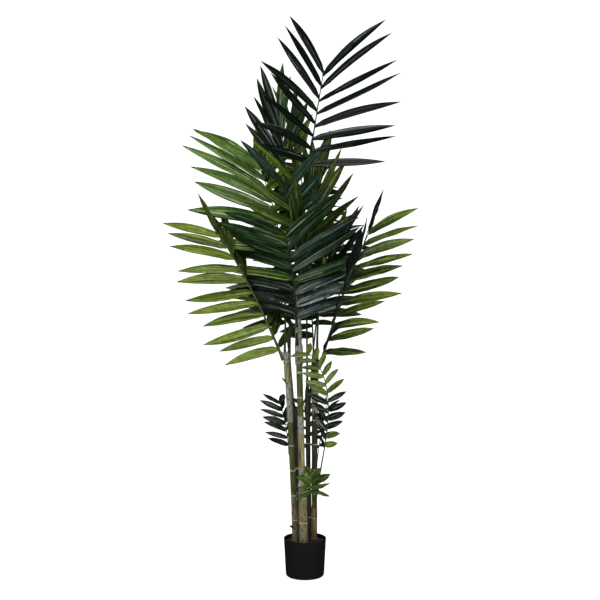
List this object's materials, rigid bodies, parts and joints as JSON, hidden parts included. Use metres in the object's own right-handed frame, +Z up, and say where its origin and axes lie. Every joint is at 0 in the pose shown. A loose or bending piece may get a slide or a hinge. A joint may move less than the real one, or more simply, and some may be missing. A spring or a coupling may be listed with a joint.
{
  "type": "artificial kentia palm",
  "caption": "Tall artificial kentia palm: slim ringed canes rise from a small black pot and carry arching feathered fronds.",
  "frame": {"origin": "centre of the pot's flat underside", "axes": "+Z up the plant; -Y is the front seen in the picture, +X its right"},
  "size_m": [1.0753, 1.1438, 2.2933],
  "materials": {
    "pot_black": "matte black",
    "fill_dark": "rough dark cement",
    "cane_olive": "satin olive and tan",
    "frond_deep": "satin dark green",
    "frond_lime": "satin yellow-green",
    "frond_fresh": "satin mid green",
    "frond_olive": "satin olive green",
    "frond_teal": "satin grey-green"
  },
  "bodies": {
    "root": {"pot": "pot_black", "pot_fill": "fill_dark", "cane_left": "cane_olive", "cane_front": "cane_olive", "cane_right": "cane_olive", "cane_back": "cane_olive", "cane_rear_left": "cane_olive", "frond_top_front": "frond_deep", "frond_front": "frond_deep", "frond_left_low": "frond_lime", "frond_right_low": "frond_fresh", "frond_left_high": "frond_fresh", "frond_top_left": "frond_teal", "frond_top_back": "frond_olive", "frond_top_right": "frond_olive", "frond_right_high": "frond_olive", "frond_back_top": "frond_deep", "frond_back": "frond_olive", "frond_back_right": "frond_deep", "frond_back_left": "frond_teal", "frond_back_low": "frond_fresh", "sprig_left": "frond_deep", "sprig_right": "frond_fresh", "sprig_right_back": "frond_deep", "sprig_base": "frond_fresh", "sprig_back": "frond_olive"}
  },
  "joints": []
}
